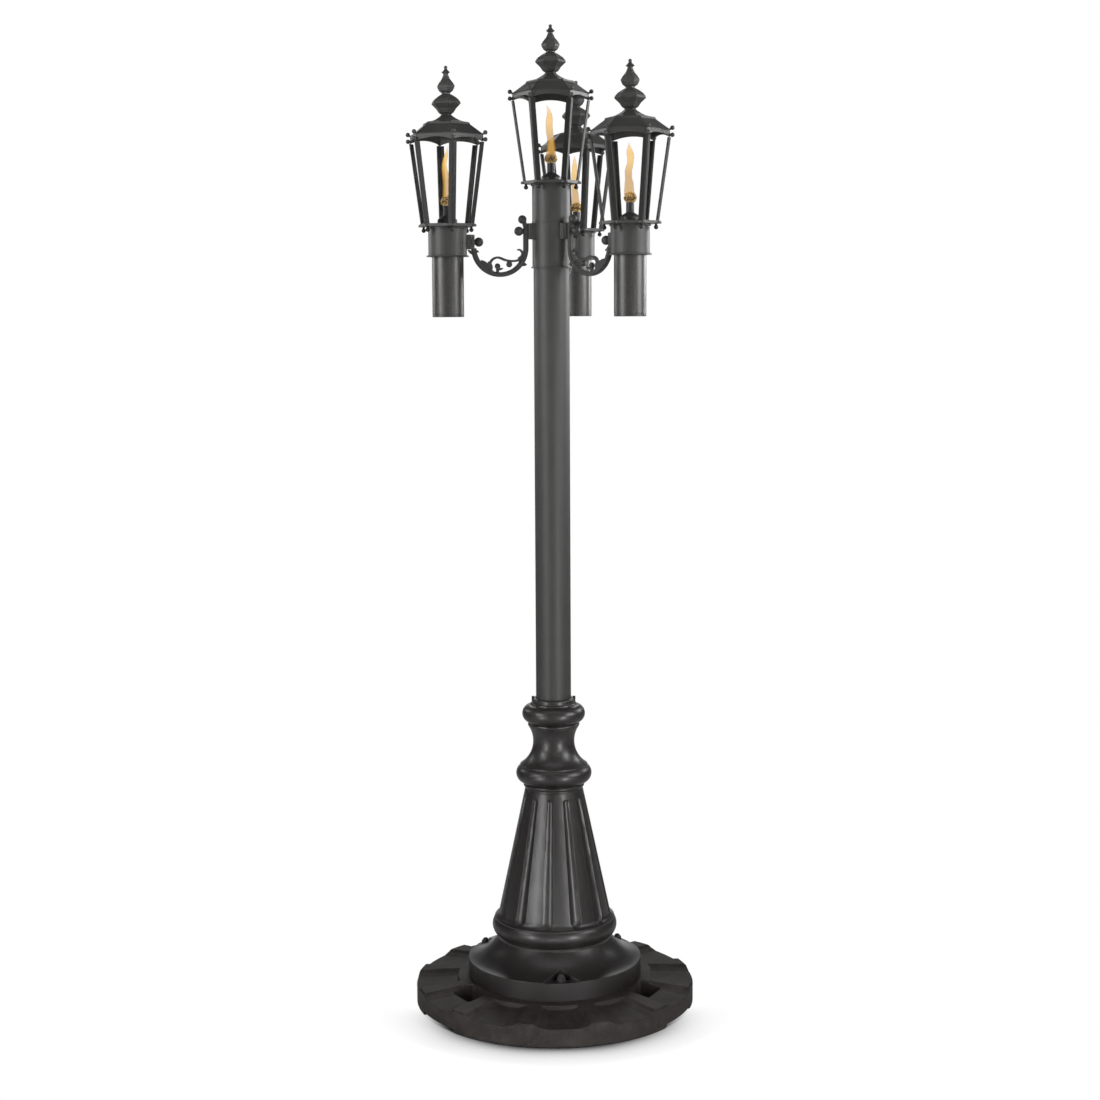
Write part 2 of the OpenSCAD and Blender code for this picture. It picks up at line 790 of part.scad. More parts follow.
// Wick: a rope in the can and the neck, mushroomed where it burns
module wick() {
    rope_r = neck_r - neck_wall;
    tail = can_len - 25;
    color(fibre)
        rotate_extrude($fn = 64)
            polygon([
                [0, -tail], [5, -tail], [5, cap_z + 4], [rope_r, cap_z + 8],
                [rope_r, neck_top], [neck_r, neck_top], [wick_head_r - 1, neck_top + 8],
                [wick_head_r, neck_top + 12], [wick_head_r - 3, neck_top + 13.5],
                [0, neck_top + 11]
            ]);
}

module at_centre() {
    translate([0, 0, centre_seat_z]) children();
}

// Places something about a side lantern's axis, its local X away from the pole
module at_side(azimuth, turn = 0) {
    rotate(azimuth) translate([arm_reach, 0, side_seat_z]) rotate(turn) children();
}

module at_left() { at_side(left_azimuth, 30 + left_turn) children(); }
module at_right() { at_side(right_azimuth, 30 + right_turn) children(); }
module at_back() { at_side(back_azimuth, 30) children(); }

base_disc();
pedestal();
foot_bolts();
pedestal_screws();
pole_lower();
pole_coupler();
pole_upper();
hub_sleeve();
color(metal) rotate(left_azimuth) arm();  // arm_left
color(metal) rotate(right_azimuth) arm();  // arm_right
color(metal) rotate(back_azimuth) arm();  // arm_back
color(metal) rotate(left_azimuth) arm_screws();  // arm_screws_left
color(metal) rotate(right_azimuth) arm_screws();  // arm_screws_right
color(metal) rotate(back_azimuth) arm_screws();  // arm_screws_back
collar_centre();
at_side(left_azimuth) side_collar();  // collar_left
at_side(right_azimuth) side_collar();  // collar_right
at_side(back_azimuth) side_collar();  // collar_back
at_centre() plate();  // plate_centre
at_left() plate();  // plate_left
at_right() plate();  // plate_right
at_back() plate();  // plate_back
at_centre() plate_nuts();  // plate_nuts_centre
at_left() plate_nuts();  // plate_nuts_left
at_right() plate_nuts();  // plate_nuts_right
at_back() plate_nuts();  // plate_nuts_back
at_centre() posts();  // posts_centre
at_left() posts();  // posts_left
at_right() posts();  // posts_right
at_back() posts();  // posts_back
at_centre() roof();  // roof_centre
at_left() roof();  // roof_left
at_right() roof();  // roof_right
at_back() roof();  // roof_back
at_centre() finial();  // finial_centre
at_left() finial();  // finial_left
at_right() finial();  // finial_right
at_back() finial();  // finial_back
at_centre() can();  // can_centre
at_left() can();  // can_left
at_right() can();  // can_right
at_back() can();  // can_back
at_centre() burner_cap();  // burner_cap_centre
at_left() burner_cap();  // burner_cap_left
at_right() burner_cap();  // burner_cap_right
at_back() burner_cap();  // burner_cap_back
at_centre() wick();  // wick_centre
at_left() wick();  // wick_left
at_right() wick();  // wick_right
at_back() wick();  // wick_back
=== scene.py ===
import math
import random

import bmesh
import bpy
from mathutils import Matrix, Vector


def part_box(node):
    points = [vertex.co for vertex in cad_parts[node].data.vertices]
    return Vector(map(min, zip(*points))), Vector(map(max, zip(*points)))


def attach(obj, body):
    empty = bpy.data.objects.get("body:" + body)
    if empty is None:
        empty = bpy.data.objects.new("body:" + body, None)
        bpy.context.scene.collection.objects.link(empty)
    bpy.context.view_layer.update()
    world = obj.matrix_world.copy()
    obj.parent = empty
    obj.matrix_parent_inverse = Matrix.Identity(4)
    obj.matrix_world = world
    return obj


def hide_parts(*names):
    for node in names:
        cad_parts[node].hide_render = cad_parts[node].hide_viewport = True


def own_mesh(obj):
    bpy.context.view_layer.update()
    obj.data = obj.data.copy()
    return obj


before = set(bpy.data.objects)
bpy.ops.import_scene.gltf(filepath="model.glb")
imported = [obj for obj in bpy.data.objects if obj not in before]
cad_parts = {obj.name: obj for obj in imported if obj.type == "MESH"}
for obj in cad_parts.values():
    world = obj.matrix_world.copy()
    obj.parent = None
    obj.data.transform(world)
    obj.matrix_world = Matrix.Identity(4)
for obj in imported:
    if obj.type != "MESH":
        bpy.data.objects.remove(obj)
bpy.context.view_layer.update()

mm = 0.001
lanterns = ("centre", "left", "right", "back")

# the axis of each lantern and the height of its collar's top, from the frame
lanternSeat = {}
for place in lanterns:
    collarLow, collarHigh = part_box("collar_" + place)
    plateLow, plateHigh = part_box("plate_" + place)
    middle = (plateLow + plateHigh) / 2
    lanternSeat[place] = Vector((middle.x, middle.y, collarHigh.z))
print("frame loaded, lantern seats at", [tuple(round(c, 3) for c in seat) for seat in lanternSeat.values()])


# camera, at the photograph's angle
camera = {
    "place": (-6.1 * mm, -4200 * mm, 1510.65 * mm),
    "pitchDown": 0.12087,      # radians below the horizon
    "roll": 0.005,             # radians
    "fieldOfView": 31.36,      # degrees, both ways
    "sensor": 36,              # mm
    "sees": 100,               # m
}


def makeCamera(s):
    data = bpy.data.cameras.new("photoCamera")
    data.sensor_width = s["sensor"]
    data.lens = data.sensor_width / 2 / math.tan(math.radians(s["fieldOfView"] / 2))
    data.clip_end = s["sees"]
    obj = bpy.data.objects.new("photoCamera", data)
    bpy.context.scene.collection.objects.link(obj)
    tilt = Matrix.Rotation(math.pi / 2 - s["pitchDown"], 4, "X")
    obj.matrix_world = Matrix.Translation(s["place"]) @ tilt @ Matrix.Rotation(-s["roll"], 4, "Z")
    bpy.context.scene.camera = obj


makeCamera(camera)


# small tools for materials
def linear(hexCode):
    channels = [int(hexCode[i:i + 2], 16) / 255 for i in (1, 3, 5)]
    return [c / 12.92 if c <= 0.04045 else ((c + 0.055) / 1.055) ** 2.4 for c in channels] + [1]


def perMetre(sizeInMm):
    return 1000 / sizeInMm     # a pattern's scale, from the size of one grain


# one node with its settings and links; a whole number as a key is the number of a socket
def addNode(tree, kind, settings=None, links=None):
    node = tree.nodes.new("ShaderNode" + kind)
    for key, value in (settings or {}).items():
        if isinstance(key, int) or key in node.inputs:
            node.inputs[key].default_value = value
        else:
            setattr(node, key, value)
    for key, source in (links or {}).items():
        tree.links.new(source, node.inputs[key])
    return node


def newMaterial(name):
    material = bpy.data.materials.new(name)
    material.use_nodes = True
    tree = material.node_tree
    tree.nodes.clear()
    return material, tree


def closeMaterial(tree, shader):
    addNode(tree, "OutputMaterial", links={"Surface": shader.outputs[0]})


def ramp(tree, source, stops):
    node = addNode(tree, "ValToRGB", links={"Fac": source})
    elements = node.color_ramp.elements
    while len(elements) < len(stops):
        elements.new(0.5)
    for element, (position, colour) in zip(elements, stops):
        element.position = position
        element.color = colour
    return node.outputs[0]


def grey(value):
    return [value, value, value, 1]


def noise(tree, at, sizeInMm, detail, roughness=0.5):
    return addNode(tree, "TexNoise", {"Scale": perMetre(sizeInMm), "Detail": detail, "Roughness": roughness},
                   {"Vector": at}).outputs["Fac"]


# a value's range laid on another range
def remap(tree, value, fromRange, toRange=(0, 1)):
    return addNode(tree, "MapRange", {"From Min": fromRange[0], "From Max": fromRange[1],
                                      "To Min": toRange[0], "To Max": toRange[1]},
                   {"Value": value}).outputs[0]


def combine(tree, operation, first, second, clamp=False):
    return addNode(tree, "Math", {"operation": operation, "use_clamp": clamp},
                   {0: first, 1: second}).outputs[0]


# the surface's normal with its edges rounded; samples are the rays that look for an edge
def softEdge(tree, radius, samples=6):
    return addNode(tree, "Bevel", {"samples": samples, "Radius": radius}).outputs[0]


# Cast and sheet steel under a satin powder coat: a dark charcoal skin with faint orange peel,
# softened edges that catch the light, and faint patches that are a little greyer and duller
powderCoat = {
    "colour": "#2f2f2e",
    "worn": "#434241",
    "wear": (0.35, 0.75),      # noise at which a patch starts and is full
    "wearShows": 0.35,         # share of the patches' colour that shows
    "roughness": (0.43, 0.55),  # from patch to patch
    "peel": 1.6,               # mm between the dimples of the coat, drawn a little coarse
    "peelHeight": 0.03 * mm,
    "peelShows": 0.5,
    "cloud": 45,               # mm, size of the faint patches
    "specular": 0.45,
    "edge": 0.9 * mm,          # radius that the coat leaves on an edge
}


def powderCoatedSteel(name, s):
    material, tree = newMaterial(name)
    at = addNode(tree, "TexCoord").outputs["Object"]
    peel = noise(tree, at, s["peel"], detail=2)
    cloud = noise(tree, at, s["cloud"], detail=3)
    tint = ramp(tree, cloud, [(s["wear"][0], linear(s["colour"])), (s["wear"][1], linear(s["worn"]))])
    mixed = addNode(tree, "Mix", {"data_type": "RGBA", 0: s["wearShows"], 6: linear(s["colour"])},
                    {7: tint}).outputs[2]
    gloss = remap(tree, cloud, (0, 1), s["roughness"])
    edge = softEdge(tree, s["edge"])
    bump = addNode(tree, "Bump", {"Strength": s["peelShows"], "Distance": s["peelHeight"]},
                   {"Height": peel, "Normal": edge}).outputs[0]
    shader = addNode(tree, "BsdfPrincipled", {"Specular IOR Level": s["specular"]},
                     {"Base Color": mixed, "Roughness": gloss, "Normal": bump})
    closeMaterial(tree, shader)
    return material


# Spun steel can under a gloss lacquer with metal flake: brighter and tighter highlights than the
# powder coat, broken up by the flakes, and faintly cloudy
flakeLacquer = {
    "colour": "#2c2b2a",
    "flakeColour": "#3b3937",
    "plain": 0.45,             # share of the flakes that keep the base colour
    "roughness": (0.32, 0.37),  # from flake to flake
    "cloudRoughness": 0.06,    # roughness that the clouds add
    "metallic": 0.2,
    "specular": 0.75,
    "flake": 1.9,              # mm, drawn coarser than the real flakes so that they show
    "cloud": 30,               # mm
    "edge": 0.6 * mm,
}


def lacqueredCan(name, s):
    material, tree = newMaterial(name)
    at = addNode(tree, "TexCoord").outputs["Object"]
    flake = addNode(tree, "TexVoronoi", {"Scale": perMetre(s["flake"])}, {"Vector": at}).outputs["Color"]
    cloud = noise(tree, at, s["cloud"], detail=2)
    bright = addNode(tree, "SeparateColor", links={0: flake}).outputs[0]
    tint = ramp(tree, bright, [(s["plain"], linear(s["colour"])), (1.0, linear(s["flakeColour"]))])
    gloss = remap(tree, bright, (0, 1), s["roughness"])
    dulled = addNode(tree, "Math", {"operation": "MULTIPLY_ADD", 1: s["cloudRoughness"]},
                     {0: cloud, 2: gloss}).outputs[0]
    edge = softEdge(tree, s["edge"])
    shader = addNode(tree, "BsdfPrincipled", {"Metallic": s["metallic"], "Specular IOR Level": s["specular"]},
                     {"Base Color": tint, "Roughness": dulled, "Normal": edge})
    closeMaterial(tree, shader)
    return material


# Injection-moulded polypropylene, black with a satin mould finish: deep black with clear, soft
# highlights and a very fine spark-eroded grain
mouldedPlastic = {
    "colour": "#191514",
    "roughness": (0.39, 0.51),  # from patch to patch
    "skin": 0.38,              # weight of the glossy skin
    "skinRoughness": 0.27,
    "grain": 1.2,              # mm, coarser than the real grain so that it shows
    "grainHeight": 0.02 * mm,
    "grainShows": 0.35,
    "flow": 60,                # mm, size of the duller patches where the melt flowed
    "edge": 1.5 * mm,
}


def mouldedPolypropylene(name, s):
    material, tree = newMaterial(name)
    at = addNode(tree, "TexCoord").outputs["Object"]
    grain = noise(tree, at, s["grain"], detail=3)
    flow = noise(tree, at, s["flow"], detail=2)
    gloss = remap(tree, flow, (0, 1), s["roughness"])
    edge = softEdge(tree, s["edge"])
    bump = addNode(tree, "Bump", {"Strength": s["grainShows"], "Distance": s["grainHeight"]},
                   {"Height": grain, "Normal": edge}).outputs[0]
    shader = addNode(tree, "BsdfPrincipled", {"Base Color": linear(s["colour"]), "Coat Weight": s["skin"],
                                              "Coat Roughness": s["skinRoughness"]},
                     {"Roughness": gloss, "Normal": bump, "Coat Normal": edge})
    closeMaterial(tree, shader)
    return material


# Cast stone composite, stained black and left matte: pitted, with pale grit in the skin
castStone = {
    "colour": "#211d1b",
    "grit": "#433d39",
    "roughness": 0.62,
    "specular": 0.35,          # open pores leave little shine
    "pit": 3.0,                # mm
    "pitHeight": 0.4 * mm,
    "pitShows": 0.6,
    "gritSize": 3.4,           # mm
    "gritReach": 0.34,         # share of its cell that a piece of grit fills
    "cloud": 40,               # mm, size of the largest patches
    "dust": (0.4, 0.7),        # noise at which the dust starts and is full
    "dustShows": 0.6,
    "edge": 2.0 * mm,
}


def castComposite(name, s):
    material, tree = newMaterial(name)
    at = addNode(tree, "TexCoord").outputs["Object"]
    pits = noise(tree, at, s["pit"], detail=5, roughness=0.6)
    grit = addNode(tree, "TexVoronoi", {"Scale": perMetre(s["gritSize"])}, {"Vector": at}).outputs["Distance"]
    cloud = noise(tree, at, s["cloud"], detail=5, roughness=0.75)
    speck = remap(tree, grit, (0, s["gritReach"]), (1, 0))
    dusty = remap(tree, cloud, s["dust"], (0, s["dustShows"]))
    amount = combine(tree, "MAXIMUM", speck, dusty)
    tint = addNode(tree, "Mix", {"data_type": "RGBA", 6: linear(s["colour"]), 7: linear(s["grit"])},
                   {0: amount}).outputs[2]
    edge = softEdge(tree, s["edge"])
    bump = addNode(tree, "Bump", {"Strength": s["pitShows"], "Distance": s["pitHeight"]},
                   {"Height": pits, "Normal": edge}).outputs[0]
    shader = addNode(tree, "BsdfPrincipled",
                     {"Roughness": s["roughness"], "Specular IOR Level": s["specular"]},
                     {"Base Color": tint, "Normal": bump})
    closeMaterial(tree, shader)
    return material


# Braided fibreglass wick, soaked in oil: straw-coloured and speckled with char, which is thickest
# round the widest part of its brush
fibreglass = {
    "clean": "#d9c08a",
    "amber": "#b28c52",
    "charred": "#5a4224",
    "stops": {"clean": 0.47, "amber": 0.57, "charred": 0.68},  # amount of char for each colour
    "roughness": 0.85,
    "strand": 1.0,             # mm
    "strandHeight": 0.4 * mm,
    "strandShows": 0.8,
    "speck": 3.2,              # mm
    "charMiddle": 51.5 * mm,   # height above the collar
    "charReach": 8.0 * mm,
    "charShare": 0.16,         # char that the widest part has on top of the specks
}


def braidedWick(name, s, seat):
    material, tree = newMaterial(name)
    at = addNode(tree, "TexCoord").outputs["Object"]
    height = addNode(tree, "SeparateXYZ", links={"Vector": at}).outputs["Z"]
    fibres = noise(tree, at, s["strand"], detail=4)
    specks = noise(tree, at, s["speck"], detail=3)
    above = addNode(tree, "Math", {"operation": "SUBTRACT", 1: seat.z + s["charMiddle"]},
                    {0: height}).outputs[0]
    away = addNode(tree, "Math", {"operation": "ABSOLUTE"}, {0: above}).outputs[0]
    band = remap(tree, away, (0, s["charReach"]), (s["charShare"], 0))
    amount = combine(tree, "ADD", specks, band)
    tint = ramp(tree, amount, [(share, linear(s[key])) for key, share in s["stops"].items()])
    bump = addNode(tree, "Bump", {"Strength": s["strandShows"], "Distance": s["strandHeight"]},
                   {"Height": fibres}).outputs[0]
    shader = addNode(tree, "BsdfPrincipled", {"Roughness": s["roughness"]},
                     {"Base Color": tint, "Normal": bump})
    closeMaterial(tree, shader)
    return material


# Flame of burning lamp oil: a thin glowing sheath round a brighter core, which together let a sixth of
# what is behind them through: golden in the heart, duller low down, with an amber rim and a thin tip
oilFlame = {
    "sheath": {"low": "#bd8320", "heart": "#d8a942", "tip": "#c98f3a", "strength": 1.0, "density": 0.42},
    "core": {"low": "#c9b173", "heart": "#ffd081", "tip": "#e9b865", "strength": 1.4, "density": 0.30},
}
# up the flame's height, from 0 to 1: its tints, and how much of its density is left
flameTints = [(0.0, "low"), (0.35, "low"), (0.65, "heart"), (0.88, "heart"), (1.0, "tip")]
flameFade = [(0.0, 0.9), (0.06, 1.0), (0.8, 1.0), (1.0, 0.35)]


def burningOil(name, s, base, tip):
    material, tree = newMaterial(name)
    at = addNode(tree, "TexCoord").outputs["Object"]
    height = addNode(tree, "SeparateXYZ", links={"Vector": at}).outputs["Z"]
    up = remap(tree, height, (base, tip))
    tint = ramp(tree, up, [(share, linear(s[key])) for share, key in flameTints])
    glow = addNode(tree, "Emission", {"Strength": s["strength"]}, {"Color": tint})
    clear = addNode(tree, "BsdfTransparent")
    fade = ramp(tree, up, [(share, grey(left)) for share, left in flameFade])
    density = addNode(tree, "Math", {"operation": "MULTIPLY", 1: s["density"]}, {0: fade}).outputs[0]
    shader = addNode(tree, "MixShader", links={0: density, 1: clear.outputs[0], 2: glow.outputs[0]})
    closeMaterial(tree, shader)
    return material


def dress(node, material):
    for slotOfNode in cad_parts[node].material_slots:
        slotOfNode.material = material


lanternPaint = powderCoatedSteel("powderCoatLantern", powderCoat)
postPaint = powderCoatedSteel("powderCoatPost", {**powderCoat, "colour": "#1d1d1c", "worn": "#2b2b2a",
                                                 "specular": 0.3})
armPaint = powderCoatedSteel("powderCoatArm", {**powderCoat, "colour": "#2b2b2a", "roughness": (0.45, 0.57)})
polePaint = powderCoatedSteel("powderCoatPole", {**powderCoat, "colour": "#313130", "worn": "#3d3c3b",
                                                 "roughness": (0.45, 0.57)})
screwPaint = powderCoatedSteel("blackenedSteel", {**powderCoat, "colour": "#1f1f1f", "worn": "#2a2a28"})
canPaint = lacqueredCan("flakeLacquerCan", flakeLacquer)
pedestalPlastic = mouldedPolypropylene("mouldedPolypropylene", mouldedPlastic)
baseStone = castComposite("castStoneComposite", castStone)

finishOf = {
    "base_disc": baseStone, "pedestal": pedestalPlastic, "foot_bolts": screwPaint,
    "pedestal_screws": screwPaint, "pole_lower": polePaint, "pole_upper": polePaint,
    "pole_coupler": polePaint, "hub_sleeve": lanternPaint,
}
finishOfKind = {
    "arm": armPaint, "arm_screws": armPaint, "posts": postPaint, "plate_nuts": postPaint,
    "can": canPaint, "burner_cap": screwPaint,
}
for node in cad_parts:
    kind = node.rsplit("_", 1)[0]
    dress(node, finishOf.get(node, finishOfKind.get(kind, lanternPaint)))
print("materials set on", len(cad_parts), "CAD pieces")


# small tools for meshes
def meshPiece(name, bm, material, body):
    bmesh.ops.recalc_face_normals(bm, faces=bm.faces)
    mesh = bpy.data.meshes.new(name)
    bm.to_mesh(mesh)
    bm.free()
    for polygon in mesh.polygons:
        polygon.use_smooth = True
    mesh.materials.append(material)
    obj = bpy.data.objects.new(name, mesh)
    bpy.context.scene.collection.objects.link(obj)
    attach(obj, body)
    return obj


# closed tube through rings of points, drawn together to a point at each end
def loft(bm, rings, first, last):
    loops = [[bm.verts.new(p) for p in ring] for ring in rings]
    for a, b in zip(loops, loops[1:]):
        for i in range(len(a)):
            j = (i + 1) % len(a)
            bm.faces.new((a[i], a[j], b[j], b[i]))
    for end, point in ((loops[0], first), (loops[-1], last)):
        tip = bm.verts.new(point)
        for i in range(len(end)):
            bm.faces.new((end[i], end[(i + 1) % len(end)], tip))


steep = 0.2                    # rise of a path from which all its rings are turned alike


# tube along a path, with a radius at each point; its rings stand square to the path
def sweep(bm, path, radii, sides):
    rings = []
    for i, point in enumerate(path):
        ahead = (path[min(i + 1, len(path) - 1)] - path[max(i - 1, 0)]).normalized()
        across = ahead.orthogonal().normalized()
        if abs(ahead.z) > steep:
            across = (Vector((1, 0, 0)) - ahead * ahead.x).normalized()
        other = ahead.cross(across)
        turns = [2 * math.pi * k / sides for k in range(sides)]
        rings.append([point + radii[i] * (math.cos(t) * across + math.sin(t) * other) for t in turns])
    loft(bm, rings, path[0], path[-1])


# value at a height, eased from one given point to the next
def between(points, at):
    for (a, va), (b, vb) in zip(points, points[1:]):
        if at <= b:
            share = (at - a) / (b - a)
            share = share * share * (3 - 2 * share)
            return va + (vb - va) * share
    return points[-1][1]


# wicks: twisted rope in the can, bound at the tube's mouth and frayed into a brush where it burns
wick = {
    "ropeFrom": -162 * mm,
    "ropeTo": 8 * mm,
    "ropeRadius": 5.0 * mm,
    "ropeSteps": 60,
    "strands": 3,
    "ropeOverStrand": 2.1,     # the rope's radius over a strand's
    "strandSides": 8,
    "lay": 32 * mm,            # height of one turn of the rope
    "neckRadius": 7.3 * mm,
    "brushRadius": 14.0 * mm,
    "tufts": (30, 22, 14, 7),  # tufts in each ring of the brush, from the rim in
    "tuftRadius": 1.25 * mm,
    "tuftSides": 6,
    # one tuft of the rim: height above the collar in mm, how far it has spread, and its thickness
    "tuft": [(33, 0.0, 1.0), (43, 0.0, 1.0), (46.5, 0.55, 1.0), (50, 1.0, 1.0), (53.5, 1.0, 1.0),
             (57.5, 0.84, 0.8), (61, 0.55, 0.4)],
    "brushFrom": 43,           # mm, where the tufts come out of the tube
    "brushTall": 18,           # mm
    "domeRise": 4.0 * mm,      # how much higher the middle of the brush stands than its rim
    # how much the tufts differ: turn in radians, and shares of their reach and of their height
    "turnDiffers": (-0.08, 0.08),
    "reachDiffers": (0.93, 1.0),
    "heightDiffers": (0.93, 1.02),
}


def makeWick(place, s, rng):
    seat = lanternSeat[place]
    bm = bmesh.new()
    strandRadius = s["ropeRadius"] / s["ropeOverStrand"]
    strandReach = s["ropeRadius"] - strandRadius
    for k in range(s["strands"]):
        path = []
        for i in range(s["ropeSteps"] + 1):
            z = s["ropeFrom"] + (s["ropeTo"] - s["ropeFrom"]) * i / s["ropeSteps"]
            turn = 2 * math.pi * (k / s["strands"] + z / s["lay"])
            path.append(seat + Vector((strandReach * math.cos(turn), strandReach * math.sin(turn), z)))
        sweep(bm, path, [strandRadius] * len(path), s["strandSides"])
    for ring, count in enumerate(s["tufts"]):
        out = 1 - ring / len(s["tufts"])
        for k in range(count):
            turn = 2 * math.pi * (k + ring / 2) / count + rng.uniform(*s["turnDiffers"])
            reach = s["brushRadius"] * out * rng.uniform(*s["reachDiffers"]) - s["tuftRadius"]
            start = s["neckRadius"] * out - s["tuftRadius"] / 2
            stretch = rng.uniform(*s["heightDiffers"])
            path, radii = [], []
            for height, spread, thickness in s["tuft"]:
                above = height - s["brushFrom"]
                rise = max(0, above) / s["brushTall"]
                z = (s["brushFrom"] + above * stretch) * mm + s["domeRise"] * (1 - out ** 2) * rise
                away = start + (reach - start) * spread
                path.append(seat + Vector((away * math.cos(turn), away * math.sin(turn), z)))
                radii.append(s["tuftRadius"] * thickness)
            sweep(bm, path, radii, s["tuftSides"])
    material = braidedWick("braidedFibreglass_" + place, fibreglass, seat)
    piece = meshPiece("wickBrush_" + place, bm, material, "burner_" + place)
    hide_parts("wick_" + place)


# flames: height above the collar, sideways lean and half width, in mm, read off the photograph
flame = {
    "centre": [(58, 0, 10.6), (64, 0.3, 10.0), (74, 0.4, 9.0), (82, 0, 7.9), (95, -1, 7.4), (108, -2.4, 7.6),
               (122, -2.9, 7.4), (135, -2.8, 7.0), (143, -2.7, 5.8), (151, -4, 4.0), (156, -5.5, 2.9),
               (160, -7.5, 1.9), (163, -8.6, 0.5)],
    "right": [(58, -0.6, 11.4), (67, -1.8, 10.2), (80, -2.5, 9.2), (93, -3.7, 7.3), (106, -3.5, 7.3),
              (114, -1.4, 7.3), (122, 0.8, 6.7), (132, 1.4, 7.2), (140, 0.3, 7.5), (147, -1.3, 6.1),
              (155, -2.3, 3.6), (160, -2.2, 1.7), (164, -2.4, 0.5)],
    "left": [(58, -0.5, 8.6), (70, -1.0, 7.8), (81, -1.3, 7.4), (94, -1.6, 7.3), (107, -2.2, 7.1),
             (118, -4.0, 6.0), (128, -4.8, 5.0), (139, -3.2, 4.7), (147, -1.2, 4.0), (155, 0.4, 2.5),
             (161, 1.6, 1.0), (165, 2.2, 0.4)],
    "back": [(58, -0.6, 9.4), (66, -1.2, 8.5), (77, -2.4, 7.8), (91, -3.6, 7.0), (105, -3.9, 6.7),
             (124, -3.9, 6.6), (141, -3.7, 5.6), (152, -3.7, 4.2), (161, -3.6, 2.2), (166, -3.6, 0.5)],
}
flameForm = {
    "depth": 0.82,             # a flame is a little thinner front to back
    "sides": 28,
    "steps": 44,
    "lick": 0.07,              # how far its lobes stand out, as a share of its width
    "lobes": 3,
    "lickTurn": 11,            # mm of height in which the lobes turn by a radian
    "footDrop": 2,             # mm from its lowest ring down to its foot
    "tipRise": 1.5,            # mm from its highest ring up to its tip
    "coreShare": 0.68,         # width of the core within the sheath
    "coreDrop": 7,             # mm from the sheath's tip down to the core's
}


def flameShell(bm, s, seat, outline, share, top):
    low = outline[0][0]
    leans = [(z, x) for z, x, w in outline]
    widths = [(z, w) for z, x, w in outline]
    rings = []
    turns = [2 * math.pi * k / s["sides"] for k in range(s["sides"])]
    for i in range(s["steps"] + 1):
        z = low + (top - low) * i / s["steps"]
        lean, width = between(leans, z), between(widths, z) * share
        lick = [1 + s["lick"] * math.sin(s["lobes"] * t + z / s["lickTurn"]) for t in turns]
        rings.append([seat + mm * Vector((lean + width * q * math.cos(t),
                                          width * s["depth"] * q * math.sin(t), z))
                      for t, q in zip(turns, lick)])
    bottom = seat + mm * Vector((outline[0][1], 0, low - s["footDrop"] * share))
    tip = seat + mm * Vector((between(leans, top), 0, top + s["tipRise"]))
    loft(bm, rings, bottom, tip)
    return tip.z


def makeFlame(place, s, outline):
    seat = lanternSeat[place]
    base = seat.z + outline[0][0] * mm
    bm = bmesh.new()
    tip = flameShell(bm, s, seat, outline, 1, outline[-1][0])
    sheathFaces = len(bm.faces)
    flameShell(bm, s, seat, outline, s["coreShare"], outline[-1][0] - s["coreDrop"])
    bm.faces.ensure_lookup_table()
    for face in bm.faces[sheathFaces:]:
        face.material_index = 1
    sheath = burningOil("burningOilSheath_" + place, oilFlame["sheath"], base, tip)
    piece = meshPiece("flame_" + place, bm, sheath, "burner_" + place)
    piece.data.materials.append(burningOil("burningOilCore_" + place, oilFlame["core"], base, tip))
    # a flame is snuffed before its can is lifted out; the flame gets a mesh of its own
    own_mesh(piece)


tuftSeed = 7
rng = random.Random(tuftSeed)
for place in lanterns:
    makeWick(place, wick, rng)
    makeFlame(place, flameForm, flame[place])
print("wicks and flames made")


# floor, backdrop and soft studio light
studio = {
    "floorSize": 30.0,         # m
    "floorColour": "#f2f2f2",
    "shadow": "#16181b",
    "shadowReach": 0.10,       # m
    "shadowSamples": 12,
    "shadowDepth": 2.2,        # darkening for each share of the sky that is hidden
    "shadowSide": (-0.06, -0.30),  # m along Y, from where no shadow falls to where all of it does
    "covered": (0.30, 0.27),   # m from the axis, where it also falls on every side: under the disc
    "skyLight": 0.07,
    "sweepSide": (0.93, 0.96),  # cosine of the angle from straight behind, where the sweep's sides fade
    "sweepTop": (0.20, 0.14),   # sine of the height, where its top fades
}


# Camera and transmission rays see white surroundings instead of what lights the lamp, and so do glossy
# rays where the sweep of white paper stands behind the lamp. Past its edges the lamp mirrors the lit
# floor and a dark studio, as it is kept for dark, shiny goods.
def behindLamp(tree, s, direction):
    parts = addNode(tree, "SeparateXYZ", links={0: direction}).outputs
    return remap(tree, parts["Y"], s["sweepSide"]), parts["Z"]


def seenRays(tree, backdrop):
    rays = addNode(tree, "LightPath").outputs
    glossy = combine(tree, "MULTIPLY", rays["Is Glossy Ray"], backdrop)
    seen = combine(tree, "MAXIMUM", rays["Is Camera Ray"], glossy)
    return combine(tree, "MAXIMUM", seen, rays["Is Transmission Ray"])


